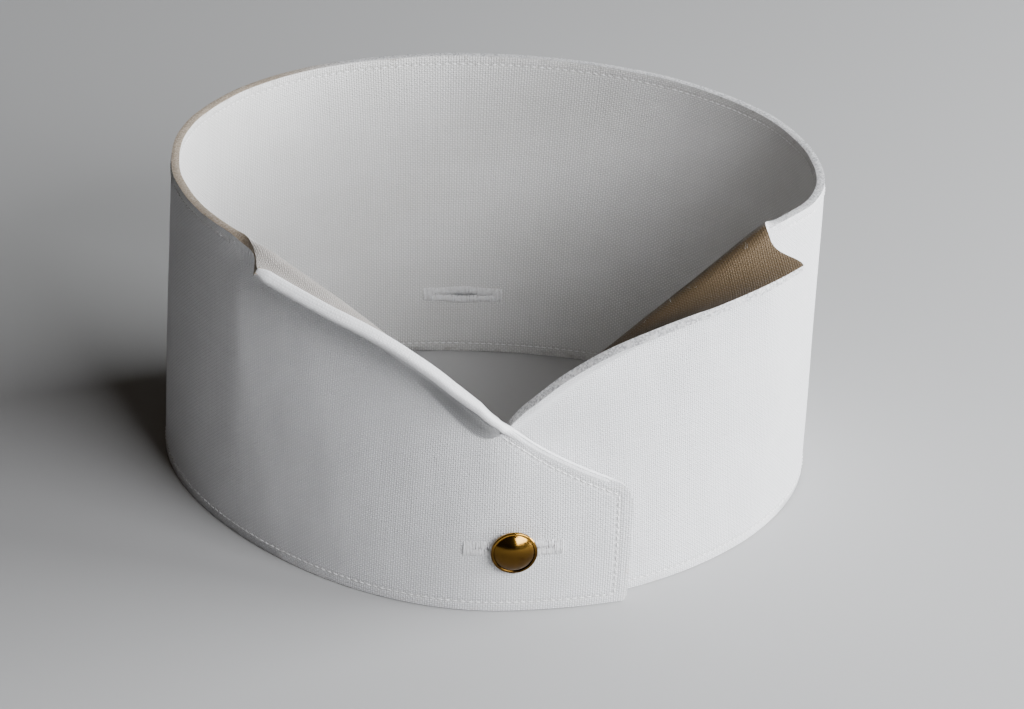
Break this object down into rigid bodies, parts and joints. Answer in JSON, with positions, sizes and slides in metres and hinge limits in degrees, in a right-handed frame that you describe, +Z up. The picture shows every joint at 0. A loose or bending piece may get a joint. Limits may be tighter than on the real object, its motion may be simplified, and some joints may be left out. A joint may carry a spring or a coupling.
{
  "type": "detachable shirt collar",
  "caption": "Stiff white wing collar: a tall cloth band closed at the front by a round stud, its two top corners folded outwards.",
  "frame": {"origin": "middle of the whole object's footprint, on the surface that its lower edge stands on", "axes": "+Z up, -Y the way the stud faces, +X towards the side where the outer lap ends, which is the wearer's left"},
  "size_m": [0.1352, 0.1162, 0.0733],
  "materials": {
    "starched_linen": "fine plain weave, starched and ironed, matt with a faint sheen",
    "buttonhole_thread": "worked white thread",
    "polished_brass": "polished, slightly worn"
  },
  "bodies": {
    "root": {"collar_band": "starched_linen", "buttonhole_front": "buttonhole_thread", "buttonhole_under": "buttonhole_thread", "buttonhole_back": "buttonhole_thread", "stud_head": "polished_brass", "stud_shank": "polished_brass", "stud_foot": "polished_brass"}
  },
  "joints": []
}
